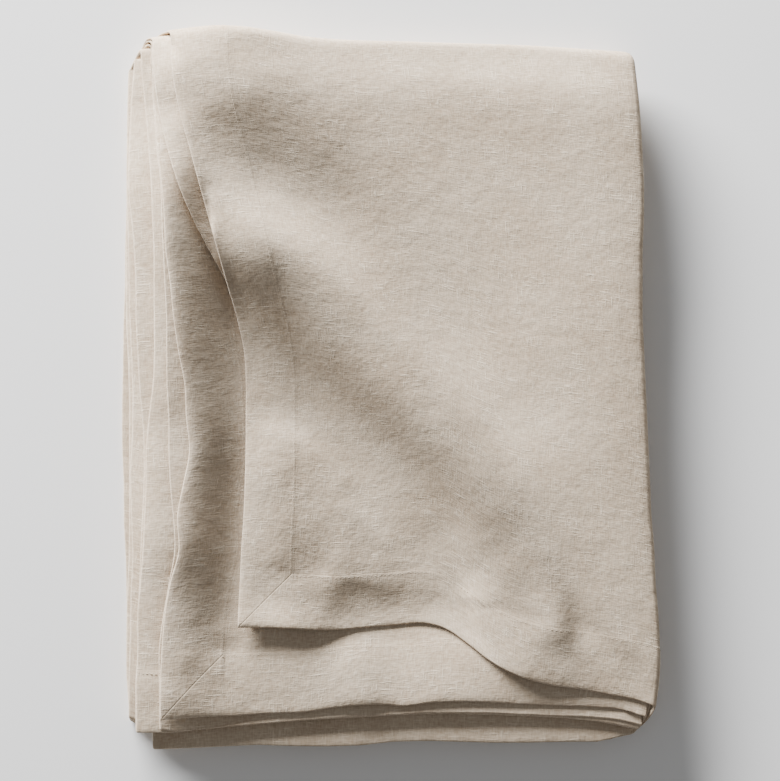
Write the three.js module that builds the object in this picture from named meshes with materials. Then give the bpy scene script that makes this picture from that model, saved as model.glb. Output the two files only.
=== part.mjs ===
// A folded tablecloth of washed linen, lying flat: one hemmed sheet, folded in half four times.
// Millimetres, +Z up, +X to the right and +Y to the far side of the pile.
import * as THREE from 'three';

// Sheet
const CLOTH_WIDTH = 1300;
const CLOTH_LENGTH = 1800;
const SHEET_THICK = 1.0;
const HEM_DEPTH = 40;
const HEM_SLOPE = 5; // width over which the hem's extra thickness fades out
const HEM_EXTRA = 0.3;

// Pile
const PITCH = 2.0; // from one layer to the next
const LAYERS = 16;
const TOP_LAYER = LAYERS - 1;

// The four folds, in the order in which they are made. `cells` is the number of steps round the fold.
const FOLDS = {
  widthOver: { side: 1, layers: 1, cells: 3 },
  lengthOver: { side: 1, layers: 2, cells: 4 },
  widthUnder: { side: -1, layers: 4, cells: 5 },
  lengthUnder: { side: -1, layers: 8, cells: 6 },
};

// Mean length of cloth in the half turn of a fold.
const turnLength = (fold) => (Math.PI * fold.layers * PITCH) / 2;

// Each fold takes half of what the fold before it left flat.
FOLDS.widthOver.at = (CLOTH_WIDTH - turnLength(FOLDS.widthOver)) / 2;
FOLDS.widthUnder.at = (FOLDS.widthOver.at - turnLength(FOLDS.widthUnder)) / 2;
FOLDS.lengthOver.at = (CLOTH_LENGTH - turnLength(FOLDS.lengthOver)) / 2;
FOLDS.lengthUnder.at = (FOLDS.lengthOver.at - turnLength(FOLDS.lengthUnder)) / 2;
FOLDS.widthOver.centre = 0.5 * PITCH;
FOLDS.lengthOver.centre = 1.5 * PITCH;
FOLDS.widthUnder.centre = -0.5 * PITCH;
FOLDS.lengthUnder.centre = -4.5 * PITCH;
const LOWEST = -12 * PITCH; // height of the bottom layer after the last fold

const PANEL_WIDTH = FOLDS.widthUnder.at;
const PANEL_LENGTH = FOLDS.lengthUnder.at;

// Grid lines across one folded panel, measured from its hem, closer where the cloth bends more.
const FINE_ACROSS = [0, 17, 35, 40, 62, 84, 106, 130, 156, 186, 218, 252, 286];
const FINE_ALONG = [0, 17, 35, 40, 68, 100, 132, 164, 194, 222, 248, 272, 296, 322, 354, 394];
const COARSE_ACROSS = [0.2, 0.4, 0.6, 0.8];
const COARSE_ALONG = [0.2, 0.4, 0.6, 0.8];

// Heights on the page, as Y, at which the left and right edges are set out.
const EDGE_Y = [-216, -173, -106, -40, 27, 94, 160, 220];
const FAR_Y = 220;

// X of the left end of each layer at those heights, lowest layer first. Layers joined by a fold
// share a row. The upper layers were pulled back from this side.
const LEFT_EDGES = [
  { from: 0, to: 3, x: [-176, -177, -179, -181, -180, -179, -178, -177] },
  { from: 4, to: 5, x: [-175, -177, -175, -175, -176, -177, -176, -176] },
  { from: 6, to: 7, x: [-172, -173, -167, -168, -172, -174, -176, -175] },
  { from: 8, to: 9, x: [-171, -170, -164, -165, -168, -171, -174, -172] },
  { from: 10, to: 11, x: [-164, -163, -161, -160, -156, -157, -161, -165] },
  { from: 12, to: 12, x: [-157, -156, -144, -147, -151, -155, -159, -163] },
  { from: 13, to: 13, x: [-154, -153, -139, -133, -140, -150, -156, -161] },
  { from: 14, to: 14, x: [-98, -97, -95, -92, -94, -118, -148, -158] },
  { from: 15, to: 15, x: [-103, -102, -99, -96, -97, -114, -133, -144] },
];

// X at which each layer starts to turn round the fold on the right.
const RIGHT_EDGES = [
  { from: 0, to: 7.4, x: [148, 152, 153, 151, 150, 149, 149, 147] },
  { from: 7.6, to: 8, x: [160, 163, 162, 160, 157, 156, 155, 152] },
  { from: 15, to: 15, x: [174, 178, 174, 170, 167, 166, 166, 162] },
];

// Shares of the panel's width at which the near edge is set out.
const NEAR_SHARE = [0, 0.08, 0.15, 0.3, 0.45, 0.6, 0.75, 0.9, 1];

// Y of the near end of each layer at those shares.
const NEAR_EDGES = [
  { from: 0, to: 3, y: [-229, -238, -240, -238, -236, -236, -237, -237, -236] },
  { from: 4, to: 7, y: [-222, -233, -236, -234, -233, -232, -233, -233, -231] },
  { from: 8, to: 11, y: [-228, -228, -225, -222, -219, -217, -218, -220, -225] },
  { from: 12, to: 12, y: [-226, -226, -224, -221, -218, -216, -217, -219, -225] },
  { from: 13, to: 13, y: [-220, -218, -217, -215, -210, -208, -210, -212, -218] },
  { from: 14, to: 14, y: [-154, -154, -155, -155, -152, -174, -192, -200, -208] },
  { from: 15, to: 15, y: [-158, -158, -159, -159, -155, -180, -196, -204, -210] },
];

// X at which the far edge is set out, and Y at which each layer there starts to turn round the fold.
const FAR_X = [-178, -160, -140, -105, -50, 20, 100, 165];
const FAR_EDGES = [
  { from: 0, to: 0, y: [196, 199, 201, 203, 202, 201, 200, 198] },
  { from: 5, to: 5, y: [206, 209, 211, 212, 211, 209, 208, 205] },
  { from: 10, to: 10, y: [215, 218, 220, 221, 219, 217, 215, 212] },
  { from: 15, to: 15, y: [222, 226, 229, 230, 228, 225, 223, 219] },
];

// Soft ridges and hollows. Each runs along a line of points, with its rise at each point, and falls
// off to `left` and `right` of the line. It grows from nothing at layer `from` to full at layer `to`.
const CREASES = [
  {
    name: 'thick hems on the left', left: 34, right: 30, from: 10, to: 13,
    line: [
      { x: -158, y: 190, rise: 3 }, { x: -153, y: 127, rise: 7 }, { x: -145, y: 67, rise: 9 },
      { x: -139, y: 10, rise: 8 }, { x: -133, y: -26, rise: 7 }, { x: -143, y: -103, rise: 7 },
      { x: -144, y: -140, rise: 5 }, { x: -152, y: -193, rise: 3 },
    ],
  },
  {
    name: 'crown of the right part', left: 60, right: 80, from: 12, to: 15,
    line: [
      { x: -30, y: 205, rise: 2 }, { x: 20, y: 120, rise: 3 }, { x: 60, y: 30, rise: 4 },
      { x: 96, y: -60, rise: 4 }, { x: 125, y: -150, rise: 3 },
    ],
  },
  {
    name: 'crest over the valley', left: 30, right: 46, from: 13, to: 15,
    line: [
      { x: -149, y: 182, rise: 2 }, { x: -129, y: 143, rise: 7 }, { x: -109, y: 114, rise: 12 },
      { x: -85, y: 98, rise: 15 }, { x: -60, y: 86, rise: 14 }, { x: -37, y: 66, rise: 11 },
      { x: -15, y: 39, rise: 8 }, { x: 9, y: 7, rise: 6 }, { x: 33, y: -25, rise: 4 },
      { x: 60, y: -60, rise: 2 },
    ],
  },
  {
    name: 'shoulder at the far left', left: 44, right: 28, from: 13, to: 15,
    line: [{ x: -136, y: 206, rise: 7 }, { x: -125, y: 190, rise: 8 }, { x: -119, y: 155, rise: 5 }],
  },
  {
    name: 'slope above the crest', left: 40, right: 40, from: 13, to: 15,
    line: [{ x: -98, y: 200, rise: 4 }, { x: -80, y: 170, rise: 4 }, { x: -62, y: 150, rise: 2 }],
  },
  {
    name: 'valley beside the crest', left: 30, right: 40, from: 11, to: 15,
    line: [
      { x: -75, y: 30, rise: 0 }, { x: -55, y: 0, rise: -1 }, { x: -30, y: -25, rise: -2 },
      { x: 0, y: -55, rise: -2.5 }, { x: 25, y: -86, rise: -2 }, { x: 38, y: -112, rise: -1 },
    ],
  },
  {
    name: 'panel below the valley', left: 26, right: 30, from: 13, to: 15,
    line: [{ x: -84, y: -40, rise: 3 }, { x: -72, y: -95, rise: 4 }, { x: -80, y: -135, rise: 2 }],
  },
  {
    name: 'ridge across the hem', left: 22, right: 28, from: 13, to: 15,
    line: [{ x: 40, y: -128, rise: 2 }, { x: 59, y: -156, rise: 2 }, { x: 87, y: -180, rise: 3 }],
  },
  {
    name: 'lifted near edge', left: 18, right: 14, from: 13, to: 15,
    line: [
      { x: -99, y: -157, rise: 2 }, { x: -67, y: -160, rise: 3 }, { x: -33, y: -158, rise: 1 },
      { x: 30, y: -156, rise: 1 }, { x: 60, y: -176, rise: 1 }, { x: 93, y: -196, rise: 1 },
    ],
  },
  {
    name: 'lifted left edge', left: 14, right: 20, from: 13, to: 15,
    line: [{ x: -96, y: -6, rise: 2 }, { x: -100, y: -86, rise: 3 }, { x: -101, y: -152, rise: 3 }],
  },
  {
    name: 'lifted second edge', left: 16, right: 14, from: 11, to: 13,
    line: [{ x: -140, y: -216, rise: 1 }, { x: 30, y: -209, rise: 2 }, { x: 100, y: -211, rise: 0.5 }],
  },
];

// Smooth curve through the values at the stations, held level beyond both ends.
function along(stations, values, at) {
  const last = stations.length - 1;
  const place = THREE.MathUtils.clamp(at, stations[0], stations[last]);
  let k = 0;
  while (k < last - 1 && place > stations[k + 1]) k += 1;
  const slope = (i) => {
    const before = Math.max(i - 1, 0);
    const after = Math.min(i + 1, last);
    return (values[after] - values[before]) / (stations[after] - stations[before]);
  };
  const step = stations[k + 1] - stations[k];
  const t = (place - stations[k]) / step;
  const t2 = t * t;
  const t3 = t2 * t;
  return (2 * t3 - 3 * t2 + 1) * values[k] + (t3 - 2 * t2 + t) * step * slope(k)
    + (3 * t2 - 2 * t3) * values[k + 1] + (t3 - t2) * step * slope(k + 1);
}

// The edge of the layer at `level`, which may lie between two layers.
function edge(rows, key, stations, level, at) {
  const upper = rows.findIndex((row) => level <= row.to);
  const row = rows[upper < 0 ? rows.length - 1 : upper];
  const here = along(stations, row[key], at);
  if (level >= row.from || upper <= 0) return here;
  const below = rows[upper - 1];
  const share = (level - below.to) / (row.from - below.to);
  return THREE.MathUtils.lerp(along(stations, below[key], at), here, share);
}

// Rise of one crease at a point: its height there, and how far off the line the point lies.
function creaseRise(crease, x, y) {
  let best = { distance: Infinity, rise: 0, side: 1 };
  for (let i = 0; i < crease.line.length - 1; i += 1) {
    const a = crease.line[i];
    const b = crease.line[i + 1];
    const run = { x: b.x - a.x, y: b.y - a.y };
    const share = THREE.MathUtils.clamp(
      ((x - a.x) * run.x + (y - a.y) * run.y) / (run.x ** 2 + run.y ** 2), 0, 1,
    );
    const off = { x: x - a.x - share * run.x, y: y - a.y - share * run.y };
    const distance = Math.hypot(off.x, off.y);
    if (distance < best.distance) {
      best = {
        distance,
        rise: THREE.MathUtils.lerp(a.rise, b.rise, share),
        side: run.x * (y - a.y) - run.y * (x - a.x),
      };
    }
  }
  const wide = best.side > 0 ? crease.left : crease.right;
  return best.rise * Math.exp(-((best.distance / wide) ** 2));
}

function lift(level, x, y) {
  return CREASES.reduce((sum, crease) => {
    const weight = THREE.MathUtils.clamp((level - crease.from) / (crease.to - crease.from), 0, 1);
    return weight > 0 ? sum + weight * creaseRise(crease, x, y) : sum;
  }, 0);
}

// Turns what lies beyond the fold line half round the fold's centre, over or under the rest.
function turn(fold, place, height) {
  const past = place - fold.at;
  if (past <= 0) return [place, height];
  const radius = fold.side * (fold.centre - height);
  const angle = Math.PI * Math.min(past / turnLength(fold), 1);
  const rest = Math.max(past - turnLength(fold), 0);
  return [
    fold.at + radius * Math.sin(angle) - rest,
    fold.centre - fold.side * radius * Math.cos(angle),
  ];
}

// A point of the flat sheet after the four folds, with neat edges. For each of the last two folds
// it also gives the layer in which the point lay before, and how far round the fold it was taken.
function foldNeatly(u, v, w) {
  let [x, y, z] = [u, v, w];
  const layerNow = () => (z - LOWEST) / PITCH;
  const shareRound = (fold, at) => THREE.MathUtils.clamp((at - fold.at) / turnLength(fold), 0, 1);
  [x, z] = turn(FOLDS.widthOver, x, z);
  [y, z] = turn(FOLDS.lengthOver, y, z);
  const right = { layer: layerNow(), round: shareRound(FOLDS.widthUnder, x) };
  [x, z] = turn(FOLDS.widthUnder, x, z);
  const far = { layer: layerNow(), round: shareRound(FOLDS.lengthUnder, y) };
  [y, z] = turn(FOLDS.lengthUnder, y, z);
  return { point: new THREE.Vector3(x, y, z - LOWEST), right, far };
}

// Stretches a panel between its two edges, and carries the folds beyond them along.
function between(place, size, first, second) {
  if (place < 0) return first + place;
  if (place > size) return second + place - size;
  return THREE.MathUtils.lerp(first, second, place / size);
}

// 1 on the hem and 0 on the single cloth inside it.
function hemShare(u, v) {
  const inside = Math.min(u, v, CLOTH_WIDTH - u, CLOTH_LENGTH - v);
  return THREE.MathUtils.clamp((HEM_DEPTH - inside) / HEM_SLOPE, 0, 1);
}

// Left or right edge of a layer, which changes over on its way round the far fold.
function sideEdge(rows, far, y) {
  const above = edge(rows, 'x', EDGE_Y, far.layer, y);
  if (far.round === 0) return above;
  const below = edge(rows, 'x', EDGE_Y, TOP_LAYER - far.layer, y);
  return THREE.MathUtils.lerp(above, below, THREE.MathUtils.smoothstep(far.round, 0, 1));
}

// Near edge of a layer, which changes over on its way round the fold on the right.
function nearEdge(right, isUnder, share) {
  const edgeOf = (layer) => edge(
    NEAR_EDGES, 'y', NEAR_SHARE, isUnder ? TOP_LAYER - layer : layer, share,
  );
  const above = edgeOf(right.layer);
  if (right.round === 0) return above;
  const below = edgeOf(TOP_LAYER + LAYERS / 2 - right.layer);
  return THREE.MathUtils.lerp(above, below, THREE.MathUtils.smoothstep(right.round, 0, 1));
}

// The point of the real pile for a point of the flat sheet, on the face `w` above its middle.
function place(u, v, w) {
  const middle = foldNeatly(u, v, 0);
  const skin = foldNeatly(u, v, w);
  const level = (point) => THREE.MathUtils.clamp(point.z / PITCH, 0, TOP_LAYER);
  const share = THREE.MathUtils.clamp(middle.point.x / PANEL_WIDTH, 0, 1);
  const near = nearEdge(middle.right, middle.far.round > 0.5, share);
  const farX = between(
    skin.point.x, PANEL_WIDTH,
    sideEdge(LEFT_EDGES, middle.far, FAR_Y), sideEdge(RIGHT_EDGES, skin.far, FAR_Y),
  );
  const far = edge(FAR_EDGES, 'y', FAR_X, level(skin.point), farX);
  const y = between(skin.point.y, PANEL_LENGTH, near, far);
  const left = sideEdge(LEFT_EDGES, middle.far, y);
  const right = sideEdge(RIGHT_EDGES, skin.far, y);
  const x = between(skin.point.x, PANEL_WIDTH, left, right);
  const hemBelow = level(middle.point) < 0.5 ? HEM_EXTRA * hemShare(u, v) : 0;
  const z = SHEET_THICK / 2 + skin.point.z + lift(level(middle.point), x, y) + hemBelow;
  return new THREE.Vector3(x, y, z);
}

// Grid lines over the whole cloth: fine panels at both ends, coarse ones between, and the folds.
function gridLines(size, first, second, fine, coarse) {
  const panel = first.at;
  const steps = (fold) => Array.from(
    { length: fold.cells + 1 }, (_, i) => (turnLength(fold) * i) / fold.cells,
  );
  const half = [
    ...fine,
    ...steps(first).map((step) => panel + step),
    ...coarse.map((share) => panel + turnLength(first) + share * panel),
  ];
  const middle = steps(second).map((step) => second.at + step);
  const mirrored = [...half].reverse().map((line) => size - line);
  return [...half, ...middle, ...mirrored];
}

const linesAcross = gridLines(
  CLOTH_WIDTH, FOLDS.widthUnder, FOLDS.widthOver, FINE_ACROSS, COARSE_ACROSS,
);
const linesAlong = gridLines(
  CLOTH_LENGTH, FOLDS.lengthUnder, FOLDS.lengthOver, FINE_ALONG, COARSE_ALONG,
);

function clothGeometry() {
  const across = linesAcross.length;
  const down = linesAlong.length;
  const positions = [];
  const triangles = [];
  const upper = (i, j) => i * down + j;
  const lower = (i, j) => across * down + upper(i, j);

  [1, -1].forEach((side) => {
    linesAcross.forEach((u) => {
      linesAlong.forEach((v) => {
        const hem = side < 0 ? HEM_EXTRA * hemShare(u, v) : 0;
        const point = place(u, v, side * (SHEET_THICK / 2 + hem));
        positions.push(point.x, point.y, point.z);
      });
    });
  });

  // A cell's diagonal turns with each fold, so that it runs the same way in every layer.
  const addCell = (a, b, c, d, flip) => {
    if (flip) triangles.push(a, b, d, b, c, d);
    else triangles.push(a, b, c, a, c, d);
  };
  for (let i = 0; i < across - 1; i += 1) {
    for (let j = 0; j < down - 1; j += 1) {
      const middleAcross = (linesAcross[i] + linesAcross[i + 1]) / 2;
      const middleAlong = (linesAlong[j] + linesAlong[j + 1]) / 2;
      const quarterAcross = Math.floor((4 * middleAcross) / CLOTH_WIDTH);
      const quarterAlong = Math.floor((4 * middleAlong) / CLOTH_LENGTH);
      const flip = (quarterAcross + quarterAlong) % 2 === 1;
      addCell(upper(i, j), upper(i + 1, j), upper(i + 1, j + 1), upper(i, j + 1), flip);
      addCell(lower(i, j), lower(i, j + 1), lower(i + 1, j + 1), lower(i + 1, j), flip);
    }
  }
  for (let i = 0; i < across - 1; i += 1) {
    addCell(lower(i, 0), lower(i + 1, 0), upper(i + 1, 0), upper(i, 0), false);
    const end = down - 1;
    addCell(upper(i, end), upper(i + 1, end), lower(i + 1, end), lower(i, end), false);
  }
  for (let j = 0; j < down - 1; j += 1) {
    addCell(lower(0, j + 1), lower(0, j), upper(0, j), upper(0, j + 1), false);
    const end = across - 1;
    addCell(lower(end, j), lower(end, j + 1), upper(end, j + 1), upper(end, j), false);
  }

  const geometry = new THREE.BufferGeometry();
  geometry.setAttribute('position', new THREE.Float32BufferAttribute(positions, 3));
  geometry.setIndex(triangles);
  return geometry;
}

const linen = new THREE.MeshStandardMaterial({ color: 0xbdb4a6, roughness: 0.95, metalness: 0 });
const tablecloth = new THREE.Mesh(clothGeometry(), linen);
tablecloth.name = 'tablecloth';

// The origin is under the middle of the pile's outline.
const box = new THREE.Box3().setFromObject(tablecloth);
const middle = box.getCenter(new THREE.Vector3());
tablecloth.geometry.translate(-middle.x, -middle.y, -box.min.z);

const pile = new THREE.Group();
pile.add(tablecloth);

export default pile;
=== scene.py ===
# %% [markdown]
# # A folded linen tablecloth
#
# The real thing is one hemmed panel of washed linen, folded in half four times and put down a
# little carelessly. The lesson builds it the same way: a flat sheet is made first, and a chain
# of small functions then folds every point of it. Because the folds are written as rules, the
# layers can never pass through each other, and each layer's edge can be listed where it lies. A
# cloth simulation could fold it too, but 16 layers that lie so close together tend to pass
# through each other, and it would not keep the edges and creases where the photo has them.

# %% Load the frame
import math
import bpy
import numpy as np
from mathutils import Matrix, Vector


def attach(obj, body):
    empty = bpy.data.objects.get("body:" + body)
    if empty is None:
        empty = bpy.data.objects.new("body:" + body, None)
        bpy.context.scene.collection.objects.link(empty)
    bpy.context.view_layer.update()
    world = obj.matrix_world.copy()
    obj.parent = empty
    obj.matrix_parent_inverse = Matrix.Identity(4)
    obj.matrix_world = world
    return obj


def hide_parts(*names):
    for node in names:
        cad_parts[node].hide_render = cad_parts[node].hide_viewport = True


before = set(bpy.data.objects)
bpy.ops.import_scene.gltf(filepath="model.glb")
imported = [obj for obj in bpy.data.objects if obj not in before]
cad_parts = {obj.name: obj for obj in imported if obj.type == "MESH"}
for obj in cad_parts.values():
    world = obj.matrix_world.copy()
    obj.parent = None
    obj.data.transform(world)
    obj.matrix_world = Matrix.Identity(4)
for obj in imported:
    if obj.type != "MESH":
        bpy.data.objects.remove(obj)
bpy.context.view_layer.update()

# %% [markdown]
# ## Sizes
#
# All lengths are in millimetres until the mesh is made. The cloth was cut for a table of modest
# size: 1.3 by 1.8 m. Washed linen of this weight is thin, but air stays between the layers, so
# they lie 1.7 mm apart. The hem is three layers of cloth, so it stands a little proud.

# %% Sizes of the cloth and of the pile
CLOTH_WIDTH, CLOTH_LENGTH = 1300.0, 1800.0
SHEET = 0.8  # thickness of the cloth
HEM_DEPTH = 40.0
HEM_EXTRA = 0.4  # how much thicker the hem is
PITCH = 1.7  # from one layer to the next
LAYERS = 16
TOP = LAYERS - 1
PAGE_TO_PILE = np.array([-0.53, 3.07])  # the lay-out below is centred on the page, not on the pile


def fold(side, layers, centre, size):
    """A fold of a packet of `layers`: over (1) or under (-1), and round which height."""
    turn = math.pi * layers * PITCH / 2
    return {"side": side, "turn": turn, "at": (size - turn) / 2, "centre": centre * PITCH}


width_over = fold(1, 1, 0.5, CLOTH_WIDTH)
width_under = fold(-1, 4, -0.5, width_over["at"])
length_over = fold(1, 2, 1.5, CLOTH_LENGTH)
length_under = fold(-1, 8, -4.5, length_over["at"])
LOWEST = -12 * PITCH  # height of the bottom layer after the four folds
PANEL_WIDTH, PANEL_LENGTH = width_under["at"], length_under["at"]
print("one folded panel: %.0f by %.0f mm" % (PANEL_WIDTH, PANEL_LENGTH))

# %% [markdown]
# ## Where each layer's edge lies
#
# A neat pile would have all its edges in line. Here the upper two layers were pulled back from
# the left and near sides, and the lower ones stick out. Each row below is one layer, or a few
# that are joined by a fold, and each number is where its edge lies at one station. A smooth
# curve runs through the stations.

# %% Tables of the edges
# Each row: first layer, last layer, where their edge lies at each station. Layer 0 is the lowest.
# The stations of the left and right edges are places along the pile, from near to far.
SIDE_Y = [
    -216, -194, -173, -150, -128, -106, -84, -62, -40, -18, 5, 27, 49, 71, 94, 116, 138, 160,
    190, 220]
LEFT = [
    (0, 3, [
        -176, -177, -177, -178, -178, -179, -180, -180, -181, -181, -181, -180, -180, -179, -179,
        -178, -178, -178, -177, -177]),
    (4, 5, [
        -175, -177, -177, -177, -176, -175, -175, -175, -175, -175, -175, -176, -177, -177, -177,
        -177, -176, -176, -176, -176]),
    (6, 7, [
        -175, -175, -174, -174, -173, -172, -173, -174, -173, -172, -172, -173, -174, -174, -175,
        -175, -176, -176, -176, -175]),
    (8, 9, [
        -158, -163, -166, -167, -167, -166, -165, -164, -164, -165, -167, -168, -169, -169, -170,
        -172, -174, -174, -173, -171]),
    (10, 11, [
        -169, -169, -168, -168, -166, -164, -163, -162, -162, -160, -157, -156, -156, -156, -156,
        -157, -158, -160, -163, -166]),
    (12, 12, [
        -154, -154, -154, -151, -147, -143, -144, -146, -147, -147, -148, -148, -148, -149, -150,
        -151, -152, -155, -158, -160]),
    (13, 13, [
        -153, -153, -152, -150, -146, -140, -141, -137, -133, -135, -136, -140, -143, -145, -148,
        -149, -151, -154, -157, -159]),
    (14, 14, [
        -98, -97, -97, -97, -96, -95, -94, -93, -92, -92, -93, -94, -99, -108, -120, -131, -140,
        -147, -154, -158]),
    (15, 15, [
        -103, -102, -101.5, -101, -100, -99, -97.5, -96.5, -96, -96, -96, -97.5, -102, -108, -114,
        -120, -126, -132, -140, -145]),
]
RIGHT = [
    (0, 7.4, [
        148, 150, 152, 152, 153, 153, 152, 152, 151, 151, 150, 150, 150, 149, 149, 149, 149, 149,
        148, 147]),
    (7.6, 8, [
        160, 162, 163, 163, 162, 162, 161, 161, 160, 159, 158, 157, 156, 156, 156, 156, 156, 155,
        154, 152]),
    (15, 15, [
        174, 177, 178, 177, 175, 174, 172, 171, 170, 169, 168, 167, 166, 166, 166, 167, 167, 166,
        164, 161]),
]
# The stations of the near edge are shares of the panel's width, from its left edge.
NEAR_SHARE = [0, 0.04, 0.08, 0.15, 0.22, 0.3, 0.38, 0.45, 0.5, 0.55, 0.6, 0.67, 0.75, 0.82, 0.9, 0.96, 1]
NEAR = [
    (0, 3, [
        -221, -227, -232, -236, -236, -236, -236, -235, -235, -235, -235, -235, -235, -235, -235,
        -235, -234]),
    (4, 7, [
        -219, -225, -230, -234, -234, -234, -234, -233, -232, -231, -231, -231, -232, -232, -232,
        -232, -230]),
    (8, 9, [
        -241, -241, -240, -239, -238, -239, -239, -238, -236, -235, -236, -236, -237, -236, -236,
        -235, -231]),
    (10, 11, [
        -229, -230, -229, -226, -224, -222, -220, -219, -218, -217, -217, -217, -218, -219, -221,
        -224, -227]),
    (12, 12, [
        -227, -228, -227, -225, -223, -221, -219, -218, -217, -216, -216, -216, -217, -218, -219,
        -221, -224]),
    (13, 13, [
        -220, -219, -218, -217.5, -216, -215, -211, -210, -211, -209, -208, -208.5, -210, -211,
        -212, -214, -218]),
    (14, 14, [
        -154, -154, -154, -155, -156, -155, -153, -152, -158, -166, -174, -184, -192, -196, -200,
        -204, -208]),
    (15, 15, [
        -158, -158, -158, -159, -160, -158.5, -157, -156, -160, -169.5, -180, -190, -196.5, -199.5,
        -203.5, -206.5, -210]),
]
FAR_X = [-178, -160, -140, -105, -50, 20, 100, 165]
FAR = [
    (0, 0, [190, 194, 197, 200, 200, 199, 198, 196]),
    (5, 5, [210, 213, 214, 216, 213, 211, 209, 206]),
    (10, 10, [222, 226, 227, 229, 224, 221, 219, 215]),
    (15, 15, [228, 232, 235, 238, 230, 228, 225, 219]),
]


# %% A smooth curve through a row, and a layer between two rows
def curve(stations, values, at):
    """Smooth curve through the values at the stations, level beyond both ends."""
    s, f = np.asarray(stations, float), np.asarray(values, float)
    at = np.clip(at, s[0], s[-1])
    k = np.clip(np.searchsorted(s, at, side="right") - 1, 0, len(s) - 2)
    slope = np.gradient(f, s)
    step = s[k + 1] - s[k]
    t = (at - s[k]) / step
    return ((2 * t**3 - 3 * t**2 + 1) * f[k] + (t**3 - 2 * t**2 + t) * step * slope[k]
            + (3 * t**2 - 2 * t**3) * f[k + 1] + (t**3 - t**2) * step * slope[k + 1])


def edge(rows, stations, level, at):
    """The edge of the layer at `level`, which may lie between two rows."""
    knots, curves = [], []
    for first, last, values in rows:
        line = curve(stations, values, at)
        for knot in ([first] if first == last else [first, last]):
            knots.append(knot)
            curves.append(line)
    knots, curves = np.array(knots, float), np.array(curves)
    level = np.clip(level, knots[0], knots[-1])
    k = np.clip(np.searchsorted(knots, level, side="right") - 1, 0, len(knots) - 2)
    share = (level - knots[k]) / (knots[k + 1] - knots[k])
    index = np.arange(curves.shape[1])
    return curves[k, index] * (1 - share) + curves[k + 1, index] * share


# %% [markdown]
# ## Creases
#
# Pulled cloth has to go somewhere: it stands up in soft ridges with hollows between them. The
# big one here runs from the far left corner down towards the near side, with a deep valley
# beside it. Each crease is a line of points, with its rise at each of them, and how wide it
# falls off on the left and right of someone who walks along that line. `first` and `full` say
# from which layer up it begins, and where it has its whole height.

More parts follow.
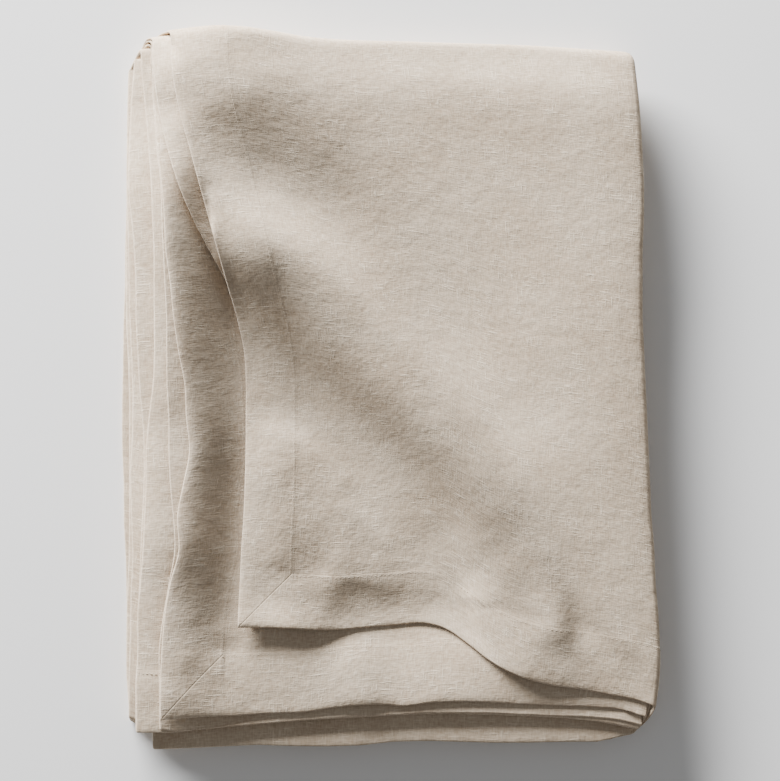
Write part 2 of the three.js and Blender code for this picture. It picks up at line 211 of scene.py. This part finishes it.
# %% Table of the creases
CREASES = [
    # name, width on the left, on the right, first layer, full layer, points (x, y, rise)
    ("slack behind the thick hems", 17, 12, 0, 15, [
        (-128, 160, -2.5), (-120, 124, -5.5), (-112, 87, -3), (-107, 47, -5.5), (-105, 0, -3),
        (-108, -60, -5.5), (-109, -113, -6), (-111, -166, -3)]),
    ("valley beside the crest", 20, 48, 0, 15, [
        (-85, 50, -2), (-65, 20, -6), (-37, -8, -9), (-3, -42, -10.5), (27, -80, -9), (44, -120, -6)]),
    ("crest over the valley", 28, 42, 13, 15, [
        (-149, 182, 3), (-129, 143, 9), (-109, 114, 15), (-85, 98, 19), (-60, 86, 18.5),
        (-37, 66, 17), (-15, 39, 15), (9, 7, 14), (33, -25, 12), (60, -60, 8.5), (87, -100, 3.5)]),
    ("shoulder at the far left", 50, 27, 12, 15, [
        (-136, 216, 14), (-125, 194, 11.5), (-120, 170, 8), (-119, 150, 6)]),
    ("trough above the crest", 45, 42, 0, 15, [
        (-103, 219, 7.5), (-92, 190, 8), (-65, 154, 4), (-30, 124, -2.5), (7, 86, -5.5), (40, 40, -7),
        (73, -6, -4.5)]),
    ("crown of the right part", 60, 51, 12, 15, [
        (20, 219, -0.5), (53, 160, -2), (87, 100, -2), (107, 34, 0), (120, -33, 0.5), (130, -86, 0)]),
    ("second ridge", 13, 6, 14, 15, [
        (-25, 72, 0.5), (7, 30, 2), (40, -10, 1.5), (73, -53, 0), (100, -100, -0.5)]),
    ("panel below the valley", 10, 37, 13, 15, [
        (-96, -26, 0.5), (-77, -30, 3), (-57, -40, 3.5), (-36, -62, 2)]),
    ("left part of the hem", 24, 28, 13, 15, [
        (-85, -60, 3), (-70, -103, 3), (-80, -140, -0.5)]),
    ("rise to the mitre", 10, 15, 13, 15, [
        (-85, -140, -1), (-65, -132, 0.5), (-40, -133, 1)]),
    ("hollow in the hem", 33, 41, 0, 15, [
        (-40, -128, -2.5), (-22, -133, -5), (0, -138, -6), (24, -140, -6)]),
    ("ridge across the hem", 16, 28, 12, 15, [
        (29, -100, -1), (37, -126, 1), (59, -156, -0.5), (87, -180, 1)]),
    ("ridge along the seam", 11, 14, 13, 15, [
        (33, -113, -0.5), (73, -138, -1), (100, -146, 0), (111, -156, 1.5)]),
    ("hollow at the right of the hem", 8, 25, 0, 15, [
        (111, -133, -0.5), (124, -152, -3), (143, -173, -2), (161, -185, -1)]),
    ("lifted near edge", 20, 12, 13, 15, [
        (-99, -157, 1.5), (-67, -160, 3), (-33, -161, -1), (0, -158, -1.5), (30, -156, -1),
        (60, -176, -1), (93, -196, 0.5), (140, -201, -1.5), (170, -208, -1.5)]),
    ("lifted left edge", 12, 22, 13, 15, [
        (-96, -6, 1), (-100, -86, 1.5), (-101, -152, 3)]),
    ("right shoulder", 14, 17, 0, 15, [
        (176, 207, -2), (177, 127, -1.5), (177, 47, -2), (180, -33, -1.5), (185, -113, -1.5),
        (187, -180, -1)]),
    ("far shoulder", 30, 22, 0, 15, [
        (-153, 234, -2.5), (-93, 236, -3.5), (7, 234, -5.5), (87, 232, -7.5), (167, 226, -4.5)]),
    ("thick hems on the left", 30, 60, 2, 13, [
        (-158, 190, 3.5), (-153, 127, 20), (-145, 67, 20), (-139, 10, 16), (-133, -26, 13),
        (-140, -66, 13), (-143, -103, 13), (-144, -140, 8), (-152, -193, 4.5)]),
    ("lifted second edge", 25, 13, 11, 13, [
        (-145, -216, 2.5), (-93, -213, 0), (-31, -208, 0), (36, -209, 0.5), (100, -212, -1.5),
        (140, -214, -1.5)]),
    ("slack of the third hem", 22, 14, 8, 12, [
        (-150, -224, -0.5), (-60, -220, -0.5), (40, -216, -0.5), (150, -222, -0.5)]),
    ("small fold in the hem", 20, 9, 13, 15, [
        (-48, -131, 0.5), (-30, -124, 2), (-10, -127, 2.5), (10, -133, 1)]),
    ("small fold at the right of the hem", 8, 18, 13, 15, [
        (108, -128, 0.5), (112, -146, 2.5), (114, -160, 2.5), (118, -176, 0.5)]),
    ("folds of the second hem", 12, 18, 12, 13, [
        (-24, -166, 0.5), (-21, -185, 1.8), (-18, -203, 1.8)]),
    ("second fold of the second hem", 11, 12, 12, 13, [
        (3, -166, -0.5), (8, -186, -0.5), (10, -203, -0.5)]),
    ("wrinkle at the second corner", 7, 9, 12, 13, [
        (-135, -177, 1), (-125, -173, 0), (-112, -162, 1)]),
]


STEPS = 6  # short straight steps between two points of a crease's line


def crease_rise(line, left, right, x, y):
    """Height of one crease at each point, from the nearest place on its line."""
    points = np.array(line, float)
    knots = np.arange(len(points))
    fine = np.linspace(0, knots[-1], knots[-1] * STEPS + 1)
    px, py, rise = (curve(knots, points[:, c], fine) for c in range(3))
    nearest = np.full(x.shape, 1e9)
    height, side = np.zeros(x.shape), np.ones(x.shape)
    for i in range(len(fine) - 1):
        run_x, run_y = px[i + 1] - px[i], py[i + 1] - py[i]
        t = np.clip(((x - px[i]) * run_x + (y - py[i]) * run_y) / (run_x**2 + run_y**2), 0, 1)
        off = np.hypot(x - px[i] - t * run_x, y - py[i] - t * run_y)
        closer = off < nearest
        nearest = np.where(closer, off, nearest)
        height = np.where(closer, rise[i] + t * (rise[i + 1] - rise[i]), height)
        side = np.where(closer, run_x * (y - py[i]) - run_y * (x - px[i]), side)
    wide = np.where(side > 0, left, right)
    return height * np.exp(-((nearest / wide) ** 2))


def lift(level, x, y):
    """Height of all creases together at each point of a layer."""
    total = np.zeros(x.shape)
    for _, left, right, first, full, line in CREASES:
        weight = np.clip((level - first) / (full - first), 0, 1)
        total += weight * crease_rise(line, left, right, x, y)
    return total


print(len(CREASES), "creases")

# %% [markdown]
# ## Folding
#
# One fold takes what lies beyond its line half round a centre, over or under the rest. Points
# keep their distance from that centre, so the layers of a packet turn as nested arcs. Four such
# folds in a row give the neat pile. After that every panel is stretched between the edges from
# the tables, and the creases lift the upper layers.


# %% The folds
def turn(fold, place, height):
    """Takes what lies past the fold's line half round its centre."""
    past = place - fold["at"]
    angle = math.pi * np.clip(past / fold["turn"], 0, 1)
    radius = fold["side"] * (fold["centre"] - height)
    rest = np.maximum(past - fold["turn"], 0)
    bent = fold["at"] + radius * np.sin(angle) - rest
    risen = fold["centre"] - fold["side"] * radius * np.cos(angle)
    return np.where(past > 0, bent, place), np.where(past > 0, risen, height)


def fold_neatly(u, v, w):
    """The four folds, and for the last two the layer before them and how far round they took it."""
    x, z = turn(width_over, u, w)
    y, z = turn(length_over, v, z)
    right = ((z - LOWEST) / PITCH, np.clip((x - width_under["at"]) / width_under["turn"], 0, 1))
    x, z = turn(width_under, x, z)
    far = ((z - LOWEST) / PITCH, np.clip((y - length_under["at"]) / length_under["turn"], 0, 1))
    y, z = turn(length_under, y, z)
    return x, y, z - LOWEST, right, far


def smooth(t):
    return t * t * (3 - 2 * t)


def side_edge(rows, far, y):
    """Left or right edge at y. Round the far fold it goes over to the layer on the other side."""
    layer, done = far
    done = smooth(done)
    return edge(rows, SIDE_Y, layer, y) * (1 - done) + edge(rows, SIDE_Y, TOP - layer, y) * done


def near_edge(right, is_under, share):
    """Near edge at a share of the width. Round the right fold it goes over in the same way."""
    layer, done = right
    done = smooth(done)
    other = TOP + LAYERS / 2 - layer
    above = edge(NEAR, NEAR_SHARE, np.where(is_under, TOP - layer, layer), share)
    below = edge(NEAR, NEAR_SHARE, np.where(is_under, TOP - other, other), share)
    return above * (1 - done) + below * done


def between(place, size, first, second):
    """Stretches the panel between two edges, and leaves what is beyond it as it is."""
    inside = first + (second - first) * place / size
    return np.where(place < 0, first + place, np.where(place > size, second + place - size, inside))


# %% The point of the pile for a point of the sheet
HEM_STEP = 3.0  # the lowest layer rises over its hem within this distance


def from_outline(u, v):
    """Distance from the nearest edge of the flat cloth."""
    return np.minimum(np.minimum(u, CLOTH_WIDTH - u), np.minimum(v, CLOTH_LENGTH - v))


def hem_share(u, v):
    return np.clip((HEM_DEPTH + HEM_STEP / 2 - from_outline(u, v)) / HEM_STEP, 0, 1)


def place(u, v, w):
    """Where the point (u, v) of the flat cloth lies in the pile, w above its middle."""
    middle_x, _, middle_z, middle_right, middle_far = fold_neatly(u, v, np.zeros(u.shape))
    x, y, z, right, far = fold_neatly(u, v, w)
    level = np.clip(middle_z / PITCH, 0, TOP)
    share = np.clip(middle_x / PANEL_WIDTH, 0, 1)
    near = near_edge(middle_right, middle_far[1] > 0.5, share)
    far_y = np.full(u.shape, float(SIDE_Y[-1]))
    far_left, far_right = side_edge(LEFT, middle_far, far_y), side_edge(RIGHT, far, far_y)
    far_x = between(x, PANEL_WIDTH, far_left, far_right)
    far_line = edge(FAR, FAR_X, np.clip(z / PITCH, 0, TOP), far_x)
    y = between(y, PANEL_LENGTH, near, far_line)
    x = between(x, PANEL_WIDTH, side_edge(LEFT, middle_far, y), side_edge(RIGHT, far, y))
    z = SHEET / 2 + z + lift(level, x, y)
    z = z + np.where(level < 0.5, HEM_EXTRA * hem_share(u, v), 0)
    return np.stack([x + PAGE_TO_PILE[0], y + PAGE_TO_PILE[1], z], axis=-1)


# %% [markdown]
# ## The sheet
#
# The grid lines follow the threads. They lie close together at the hem's edge and its seam,
# where the thickness changes, and round the folds, and wider in the panels that stay hidden
# inside the pile.


# %% Grid lines
def panel_lines(size, count):
    hem = [0, 0.5, 1.4, 3, 6, 11, 17, 23, 29, 34, 36.8, 38.2, 39.2, 40.4, 42, 45]
    return hem + list(np.linspace(45, size, count + 1)[1:-1])


def grid_lines(size, first, second, fine, coarse, steps_first, steps_second):
    panel, span = first["at"], first["turn"]
    half = (panel_lines(panel, fine) + list(panel + np.linspace(0, span, steps_first + 1))
            + list(panel + span + np.linspace(0, panel, coarse + 1)[1:-1]))
    middle = list(second["at"] + np.linspace(0, second["turn"], steps_second + 1))
    return np.array(half + middle + [size - line for line in reversed(half)])


lines_u = grid_lines(CLOTH_WIDTH, width_under, width_over, 54, 14, 8, 4)
lines_v = grid_lines(CLOTH_LENGTH, length_under, length_over, 76, 16, 12, 6)
print("grid:", len(lines_u), "by", len(lines_v))

# %% [markdown]
# The hem is puffy: full in its middle, pinched at the seam, rounded at its outer edge. All of
# its extra thickness is on the wrong side, because that is the side it is turned to.


# %% Thickness across the hem
def hem_profile(u, v):
    distances = [0, 1.4, 6, 20, 34, 38.2, 39.2, 40.4, 42]
    fullness = [0.35, 0.85, 1.05, 1.0, 0.85, 0.55, 0.6, 0.2, 0]
    return curve(distances, fullness, from_outline(u, v))


grid_u, grid_v = np.meshgrid(lines_u, lines_v, indexing="ij")
flat_u, flat_v = grid_u.ravel(), grid_v.ravel()
half = np.full(flat_u.shape, SHEET / 2)
upper = place(flat_u, flat_v, half)
lower = place(flat_u, flat_v, -half - HEM_EXTRA * hem_profile(flat_u, flat_v))
heights = np.concatenate([upper[:, 2], lower[:, 2]])
print("lowest point %.2f mm, highest %.2f mm" % (heights.min(), heights.max()))

# %% The rim
# A line of points half way through the sheet, a little further out, rounds its turned edge.
RIM_OUT, RIM_HEIGHT = 0.45, -0.12
rows, columns = grid_u.shape
rim = ([(i, 0) for i in range(rows)] + [(rows - 1, j) for j in range(1, columns)]
       + [(i, columns - 1) for i in range(rows - 2, -1, -1)]
       + [(0, j) for j in range(columns - 2, 0, -1)])
rim_index = np.array([i * columns + j for i, j in rim])


def moved_out(position, size):
    outward = np.where(position <= 0, -1, 0) + np.where(position >= size, 1, 0)
    return position + RIM_OUT * outward


rim_u = moved_out(flat_u[rim_index], CLOTH_WIDTH)
rim_v = moved_out(flat_v[rim_index], CLOTH_LENGTH)
rim_points = place(rim_u, rim_v, np.full(rim_u.shape, RIM_HEIGHT))
print("rim:", len(rim), "points")

# %% [markdown]
# ## The mesh
#
# The upper and lower faces share one grid, so the mesh is a closed skin round the whole folded
# sheet. Its UV map is the flat cloth itself, in metres along the threads. Round the two thick
# folds the outer layer is longer than the middle one, so the map runs faster there and the
# weave keeps its size.


# %% Build the mesh
def thread_lengths(lines, size, fold, radius):
    """Distance along a thread, longer where the outer layer goes round the thick fold."""
    faster = math.pi * radius * PITCH / fold["turn"]
    far_start = size - fold["at"] - fold["turn"]
    round_it = np.clip(lines - far_start, 0, fold["turn"])
    return lines + round_it * (faster - 1)


uv_u = thread_lengths(lines_u, CLOTH_WIDTH, width_under, 3.5)
uv_v = thread_lengths(lines_v, CLOTH_LENGTH, length_under, 7.5)
count = rows * columns
vertices = np.concatenate([upper, lower, rim_points]) / 1000.0
faces = []
for i in range(rows - 1):
    for j in range(columns - 1):
        a, b = i * columns + j, (i + 1) * columns + j
        c, d = b + 1, a + 1
        faces.append((a, b, c, d))
        faces.append((count + a, count + d, count + c, count + b))
for k in range(len(rim)):
    n = (k + 1) % len(rim)
    a, b = int(rim_index[k]), int(rim_index[n])
    middle_a, middle_b = 2 * count + k, 2 * count + n
    faces.append((b, a, middle_a, middle_b))
    faces.append((middle_b, middle_a, count + a, count + b))

mesh = bpy.data.meshes.new("folded_cloth")
mesh.from_pydata(vertices.tolist(), [], faces)
mesh.validate()
for polygon in mesh.polygons:
    polygon.use_smooth = True
cloth = bpy.data.objects.new("folded_cloth", mesh)
bpy.context.scene.collection.objects.link(cloth)

grid_uv = np.stack([np.repeat(uv_u, columns), np.tile(uv_v, rows)], axis=-1)
vertex_uv = np.concatenate([grid_uv, grid_uv, grid_uv[rim_index]]) / 1000.0
uv_layer = mesh.uv_layers.new(name="threads")
loops = np.zeros(len(mesh.loops), dtype=np.int32)
mesh.loops.foreach_get("vertex_index", loops)
uv_layer.data.foreach_set("uv", vertex_uv[loops].ravel())

# For the material: distance from the side edges and from the end edges, and 1 on the wrong side.
vertex_edge = np.concatenate([
    np.stack([np.minimum(u, CLOTH_WIDTH - u), np.minimum(v, CLOTH_LENGTH - v), w], axis=-1)
    for u, v, w in [(flat_u, flat_v, np.zeros(count)), (flat_u, flat_v, np.ones(count)),
                    (rim_u, rim_v, np.full(len(rim_u), 0.5))]])
attribute = mesh.attributes.new("from_edges", "FLOAT_VECTOR", "POINT")
attribute.data.foreach_set("vector", vertex_edge.ravel())
triangles = sum(len(polygon.vertices) - 2 for polygon in mesh.polygons)
print("cloth mesh:", len(mesh.vertices), "points,", triangles, "triangles")

# %% [markdown]
# ## The seam
#
# A row of short stitches holds the hem down. They could be modelled one by one, but they are all
# alike, so Geometry Nodes set one small thread loop on every step of the seam line. That line is
# drawn on the wrong side of the flat sheet and taken through the folds.


# %% The seam line
SEAM_INSET = 38.2
SEAM_STEP = 1.5  # distance between the points of the line
SEAM_DEPTH = SHEET / 2 + HEM_EXTRA * 0.35 + 0.05  # the thread is half sunk in the cloth


def seam_path():
    right, end = CLOTH_WIDTH - SEAM_INSET, CLOTH_LENGTH - SEAM_INSET
    corners = [(SEAM_INSET, SEAM_INSET), (right, SEAM_INSET), (right, end), (SEAM_INSET, end)]
    points = []
    for k in range(4):
        (u0, v0), (u1, v1) = corners[k], corners[(k + 1) % 4]
        steps = int(math.hypot(u1 - u0, v1 - v0) / SEAM_STEP)
        t = np.arange(steps) / steps
        points.append(np.stack([u0 + t * (u1 - u0), v0 + t * (v1 - v0)], axis=-1))
    points = np.concatenate(points)
    return place(points[:, 0], points[:, 1], np.full(len(points), -SEAM_DEPTH)) / 1000.0


seam_points = seam_path()
seam_lines = [(i, (i + 1) % len(seam_points)) for i in range(len(seam_points))]
path_mesh = bpy.data.meshes.new("hem_stitches")
path_mesh.from_pydata(seam_points.tolist(), seam_lines, [])
stitches = bpy.data.objects.new("hem_stitches", path_mesh)
bpy.context.scene.collection.objects.link(stitches)
print("seam: %d points" % len(seam_points))

# %% [markdown]
# ## Materials
#
# The cloth is flax in its natural oatmeal colour, plain woven and washed. Flax thread is uneven,
# so thick places, called slubs, show as short pale dashes along both directions. Every thread
# could be modelled, but at this distance one is smaller than a pixel, so a pattern in the
# material, laid out in real millimetres along the threads, gives the same look.


# %% Helpers for materials
def linear(hex_code):
    """sRGB hex to the linear colour that the shaders work in."""
    channels = [int(hex_code[i:i + 2], 16) / 255 for i in (0, 2, 4)]
    return [c / 12.92 if c <= 0.04045 else ((c + 0.055) / 1.055) ** 2.4
            for c in channels] + [1.0]


def add(tree, kind, sockets=None, **settings):
    """Adds a node. `sockets` gives each input a value, or the node or output that feeds it."""
    node = tree.nodes.new(kind)
    for name, value in settings.items():
        setattr(node, name, value)
    for key, value in (sockets or {}).items():
        source = value.outputs[0] if isinstance(value, bpy.types.Node) else value
        if isinstance(source, bpy.types.NodeSocket):
            tree.links.new(source, node.inputs[key])
        else:
            node.inputs[key].default_value = source
    return node


def new_material(name):
    material = bpy.data.materials.new(name)
    material.use_nodes = True
    material.node_tree.nodes.clear()
    return material, material.node_tree


def plain_material(name, hex_code, **inputs):
    """A material of one colour."""
    material, tree = new_material(name)
    surface = add(tree, "ShaderNodeBsdfPrincipled", {"Base Color": linear(hex_code), **inputs})
    add(tree, "ShaderNodeOutputMaterial", {"Surface": surface})
    return material


def combine(tree, operation, first, second):
    return add(tree, "ShaderNodeMath", {0: first, 1: second}, operation=operation)


def weighted(tree, parts, start):
    """Adds up patterns, each times its weight, from a start value."""
    total = start
    for part, weight in parts:
        total = add(tree, "ShaderNodeMath", {0: part, 1: weight, 2: total}, operation="MULTIPLY_ADD")
    return total


# %% Uneven threads
# Each row is a noise stretched along one thread direction: how long its marks are along the
# width and along the length of the cloth, in mm, and how they are turned into a pattern.
# Threads are about 0.7 mm apart on the real cloth. Their marks are drawn 1.0 to 1.25 mm wide,
# because finer ones would not show in the picture.
linen, tree = new_material("washed_linen_plain_weave")
threads = add(tree, "ShaderNodeUVMap", uv_map="threads")
PATTERNS = [
    # name, mm along the width, mm along the length, detail, from, to (noise values for 0 and 1)
    ("weft_slubs", 11, 1.25, 3, 0.55, 0.75),
    ("warp_slubs", 1.25, 11, 3, 0.57, 0.77),
    ("weft_grain", 5, 1.0, 1, 0.25, 0.75),
    ("warp_grain", 1.0, 5, 1, 0.25, 0.75),
    ("slub_places", 24, 18, 2, 0.40, 0.66),
    ("crinkle", 5, 4, 3, 0.2, 0.8),
    ("soft_dents", 17, 14, 2, 0.2, 0.8),
    ("clouds", 60, 50, 2, 0.25, 0.75),
]
pattern = {}
for seed, (name, along_width, along_length, detail, low, high) in enumerate(PATTERNS):
    mapped = add(tree, "ShaderNodeMapping", {
        "Vector": threads, "Location": (3.1 * seed, 1.7 * seed, 0),
        "Scale": (1000 / along_width, 1000 / along_length, 1)})
    noise = add(tree, "ShaderNodeTexNoise", {
        "Vector": mapped, "Scale": 1.0, "Detail": detail, "Roughness": 0.55}, noise_dimensions="2D")
    pattern[name] = add(tree, "ShaderNodeMapRange", {
        "Value": noise, "From Min": low, "From Max": high})
print(len(pattern), "thread patterns")

# %% Colour of the linen
# Slubs are thick places of the thread. They catch the light, and where they crowd they show as
# a fine net of pale dashes. The colour is natural, undyed flax.
slubs = combine(tree, "MAXIMUM", pattern["weft_slubs"], pattern["warp_slubs"])
slubs = combine(tree, "MULTIPLY", slubs, pattern["slub_places"])
grain = combine(tree, "ADD", pattern["weft_grain"], pattern["warp_grain"])
tone = weighted(tree, [
    (grain, 0.26), (slubs, 0.62), (pattern["clouds"], 0.22), (pattern["crinkle"], 0.14)], -0.03)
ramp = add(tree, "ShaderNodeValToRGB", {0: tone})
RAMP = [(0.15, "B09B83"), (0.85, "D6C6B0")]  # between the threads, and a slub
for stop, (position, hex_code) in zip(ramp.color_ramp.elements, RAMP):
    stop.position, stop.color = position, linear(hex_code)

# %% The hem's seam and mitre, drawn from the distance to the cloth's edges
edges = add(tree, "ShaderNodeAttribute", attribute_type="GEOMETRY", attribute_name="from_edges")
from_edges = add(tree, "ShaderNodeSeparateXYZ", {0: edges.outputs["Vector"]})
from_side, from_end, wrong_side = from_edges.outputs[0], from_edges.outputs[1], from_edges.outputs[2]
inside = combine(tree, "MINIMUM", from_side, from_end)
outer = combine(tree, "MAXIMUM", from_side, from_end)
# Both lines are 1 at their middle and 0 beyond their half width in mm.
from_seam = combine(tree, "SUBTRACT", inside, HEM_DEPTH)
from_mitre = combine(tree, "SUBTRACT", from_side, from_end)
drawn = []
for distance, half_width in ((from_seam, 0.8), (from_mitre, 1.0)):
    off = add(tree, "ShaderNodeMath", {0: distance}, operation="ABSOLUTE")
    drawn.append(add(tree, "ShaderNodeMapRange", {
        "Value": off, "From Min": half_width, "From Max": 0.0}))
in_hem = combine(tree, "LESS_THAN", outer, HEM_DEPTH)
mitre = combine(tree, "MULTIPLY", drawn[1], in_hem)
faint_seam = combine(tree, "MULTIPLY", drawn[0], 0.4)
marks = combine(tree, "MAXIMUM", faint_seam, mitre)
marks = combine(tree, "MULTIPLY", marks, wrong_side)

# %% Shader of the linen
# The fibre is a little glossy, but washing raises a fuzz, so the surface is matt with a faint
# sheen where it is seen along the surface. Relief is in mm.
relief = weighted(tree, [
    (grain, 0.04), (slubs, 0.12), (pattern["crinkle"], 0.09), (pattern["soft_dents"], 0.30),
    (marks, -0.14)], 0.0)
bump = add(tree, "ShaderNodeBump", {"Height": relief, "Strength": 1.0, "Distance": 0.001})
mark_share = combine(tree, "MULTIPLY", marks, 0.16)
colour = add(tree, "ShaderNodeMix", {
    0: mark_share, 6: ramp, 7: linear("8C7A64")}, data_type="RGBA")
surface = add(tree, "ShaderNodeBsdfPrincipled", {
    "Base Color": colour.outputs[2], "Normal": bump, "Roughness": 0.92, "Specular IOR Level": 0.25,
    "Sheen Weight": 0.15, "Sheen Roughness": 0.5})
add(tree, "ShaderNodeOutputMaterial", {"Surface": surface})
cloth.data.materials.append(linen)

# %% Sewing thread
# Spun thread in the cloth's own colour, so that the row of stitches hardly shows.
thread_material = plain_material("polyester_sewing_thread", "CDBEA9", Roughness=0.6)

# %% Stitches along the seam line
# Each stitch is a small long ball of thread that lies along the seam line. Lengths are in metres.
STITCH_INPUTS = {"Stitch spacing": 0.003, "Stitch length": 0.0018, "Thread thickness": 0.0003}
group = bpy.data.node_groups.new("stitches_along_a_line", "GeometryNodeTree")
group.interface.new_socket("Geometry", in_out="INPUT", socket_type="NodeSocketGeometry")
for name, default in STITCH_INPUTS.items():
    socket = group.interface.new_socket(name, in_out="INPUT", socket_type="NodeSocketFloat")
    socket.default_value = default
group.interface.new_socket("Geometry", in_out="OUTPUT", socket_type="NodeSocketGeometry")
inputs = add(group, "NodeGroupInput").outputs
line = add(group, "GeometryNodeMeshToCurve", {"Mesh": inputs["Geometry"]})
stations = add(group, "GeometryNodeCurveToPoints", {
    "Curve": line, "Length": inputs["Stitch spacing"]}, mode="LENGTH")
ball = add(group, "GeometryNodeMeshUVSphere", {"Segments": 6, "Rings": 4, "Radius": 0.5})
size = add(group, "ShaderNodeCombineXYZ", {
    "X": inputs["Thread thickness"], "Y": inputs["Thread thickness"], "Z": inputs["Stitch length"]})
turned = add(group, "FunctionNodeAlignRotationToVector", {
    "Vector": stations.outputs["Tangent"]}, axis="Z")
instances = add(group, "GeometryNodeInstanceOnPoints", {
    "Points": stations, "Instance": ball, "Rotation": turned, "Scale": size})
real = add(group, "GeometryNodeRealizeInstances", {"Geometry": instances})
painted = add(group, "GeometryNodeSetMaterial", {"Geometry": real, "Material": thread_material})
add(group, "NodeGroupOutput", {0: painted})

modifier = stitches.modifiers.new("stitches", "NODES")
modifier.node_group = group
for item in group.interface.items_tree:
    if item.item_type == "SOCKET" and item.in_out == "INPUT" and item.name in STITCH_INPUTS:
        modifier[item.identifier] = STITCH_INPUTS[item.name]

evaluated = stitches.evaluated_get(bpy.context.evaluated_depsgraph_get())
plain = bpy.data.meshes.new_from_object(evaluated)
stitches.modifiers.clear()
stitches.data = plain
plain.name = "hem_stitches"
print("stitches:", len(plain.polygons), "faces")

# %% [markdown]
# ## What each piece is
#
# The cloth stands for the CAD solid and rides on the part's one body.

for piece in (cloth, stitches):
    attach(piece, "root")
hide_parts("tablecloth")

# %% [markdown]
# ## Floor, light and camera
#
# The pile lies on a plain pale floor. One large soft light comes from beyond the far left
# corner, rather low, so that the creases show, and an even dim room fills their shadows. The
# camera looks straight down.

# %% Floor
FLOOR_HALF = 3
floor_corners = [(x * FLOOR_HALF, y * FLOOR_HALF, 0) for x, y in ((-1, -1), (1, -1), (1, 1), (-1, 1))]
floor_mesh = bpy.data.meshes.new("floor")
floor_mesh.from_pydata(floor_corners, [], [(0, 1, 2, 3)])
floor = bpy.data.objects.new("floor", floor_mesh)
bpy.context.scene.collection.objects.link(floor)
# Matt pale paint, like a photographer's table top.
floor_mesh.materials.append(plain_material(
    "matt_pale_paint", "F7F7F7", **{"Roughness": 0.9, "Specular IOR Level": 0.1}))


# %% Lights
def area_light(name, place, target, size, power, colour):
    data = bpy.data.lights.new(name, "AREA")
    data.shape = "ELLIPSE"
    data.size, data.size_y = size
    data.energy = power
    data.color = linear(colour)[:3]
    light = bpy.data.objects.new(name, data)
    light.location = place
    light.rotation_euler = (Vector(target) - Vector(place)).to_track_quat("-Z", "Y").to_euler()
    bpy.context.scene.collection.objects.link(light)


area_light("window_light", (-1.44, 2.54, 0.70), (0, 0, 0), (2.4, 0.8), 665, "FFFFFF")
world = bpy.data.worlds.new("soft_room")
bpy.context.scene.world = world
world.use_nodes = True
world.node_tree.nodes["Background"].inputs["Color"].default_value = linear("F4F4F4")
world.node_tree.nodes["Background"].inputs["Strength"].default_value = 0.27

# %% Camera
CAMERA_HEIGHT = 1.5  # above the pile's top
PILE_TOP = 0.032
PAGE_WIDTH = 0.520  # what the picture shows at that height
SENSOR = 36
camera_data = bpy.data.cameras.new("camera")
camera_data.sensor_width = SENSOR
camera_data.lens = SENSOR * CAMERA_HEIGHT / PAGE_WIDTH
camera = bpy.data.objects.new("camera", camera_data)
camera.location = (PAGE_TO_PILE[0] / 1000, PAGE_TO_PILE[1] / 1000, CAMERA_HEIGHT + PILE_TOP)
bpy.context.scene.collection.objects.link(camera)
bpy.context.scene.camera = camera
